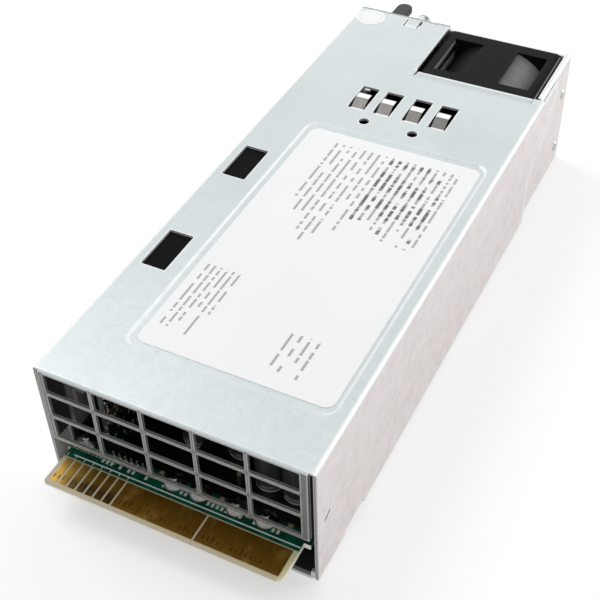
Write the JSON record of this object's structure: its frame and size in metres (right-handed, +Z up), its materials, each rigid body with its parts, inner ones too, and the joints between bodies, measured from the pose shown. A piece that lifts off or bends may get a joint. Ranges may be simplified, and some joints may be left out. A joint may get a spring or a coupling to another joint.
{
  "type": "hot swap server power supply",
  "caption": "Slim plug-in server power supply: folded steel case, grilled card edge end, rear fan, turned mains inlet, finger loop and spring latch.",
  "frame": {"origin": "centre of the housing's bottom face, halfway between the grille's face and the rear panel's face", "axes": "+Z up, -Y towards the card edge that plugs in first, +Y towards the fan and inlet, +X towards the side that the fan is on"},
  "size_m": [0.0748, 0.2115, 0.0407],
  "materials": {
    "sheet_steel": "plated, satin",
    "spring_steel": "bright",
    "screw_steel": "plated",
    "label_film": "smooth",
    "black_film": "matte",
    "fan_plastic": "moulded",
    "handle_plastic": "moulded",
    "inlet_plastic": "moulded",
    "motor_steel": "laminated",
    "pin_metal": "tin plated",
    "gold": "gold plated",
    "solder": "bright",
    "board": "solder mask",
    "clear_plastic": "clear",
    "lead_sleeve": "matte",
    "earth_sleeve": "matte",
    "capacitor_sleeve": "shrink sleeve",
    "copper": "bare",
    "ferrite": "sintered",
    "winding_tape": "tape",
    "sink_aluminium": "extruded",
    "package_plastic": "moulded",
    "capacitor_box": "moulded",
    "ceramic": "dipped",
    "fuse_ceramic": "ceramic"
  },
  "bodies": {
    "supply": {"board_insulator": "black_film", "board_screws": "screw_steel", "boost_choke_core": "ferrite", "boost_choke_winding": "copper", "bulk_capacitors": "capacitor_sleeve", "chassis_tray": "sheet_steel", "contact_spring": "spring_steel", "control_board": "board", "cover_screws": "screw_steel", "earth_lead": "earth_sleeve", "fan_bearings": "spring_steel", "fan_connector": "inlet_plastic", "fan_frame": "fan_plastic", "fan_lead": "lead_sleeve", "fan_screws": "screw_steel", "fan_stator": "motor_steel", "fuse_clips": "pin_metal", "inlet_body": "inlet_plastic", "inlet_pins": "pin_metal", "input_leads": "lead_sleeve", "inrush_relay": "package_plastic", "label": "label_film", "latch_bracket": "sheet_steel", "latch_pin": "spring_steel", "light_board": "board", "light_pipe": "clear_plastic", "line_capacitor": "capacitor_box", "line_choke_core": "ferrite", "line_choke_winding": "copper", "line_fuse": "fuse_ceramic", "main_board": "board", "output_bars": "copper", "output_capacitors": "capacitor_sleeve", "power_contacts": "gold", "power_transistors": "package_plastic", "primary_heat_sink": "sink_aluminium", "pull_handle": "handle_plastic", "rear_panel": "sheet_steel", "rectifier": "package_plastic", "rectifier_heat_sink": "sink_aluminium", "resonant_choke_coil": "winding_tape", "resonant_choke_core": "ferrite", "rivets": "screw_steel", "round_sticker": "label_film", "safety_capacitors": "ceramic", "signal_contacts": "gold", "solder_domes": "solder", "solder_pins": "solder", "standoffs": "screw_steel", "status_led": "clear_plastic", "top_cover": "sheet_steel", "transformer_core": "ferrite", "transformer_winding": "winding_tape", "wall_plate": "sheet_steel", "window_film": "black_film"},
    "fan_wheel": {"fan_rotor": "fan_plastic", "fan_shaft": "spring_steel"},
    "release_latch": {"latch_arm": "spring_steel", "latch_tab": "handle_plastic", "latch_spring": "spring_steel"}
  },
  "joints": [
    {"name": "fan_spin", "type": "hinge", "parent": "supply", "child": "fan_wheel", "pos_m": [0.0144, 0.0775, 0.0201], "axis": [0, 1, 0], "continuous": true},
    {"name": "latch_press", "type": "hinge", "parent": "supply", "child": "release_latch", "pos_m": [-0.03264, 0.038, 0.015], "axis": [0, 0, -1], "range_deg": [0, 2.2], "stiffness_Nm_per_rad": 2, "springref_deg": -2.86}
  ]
}
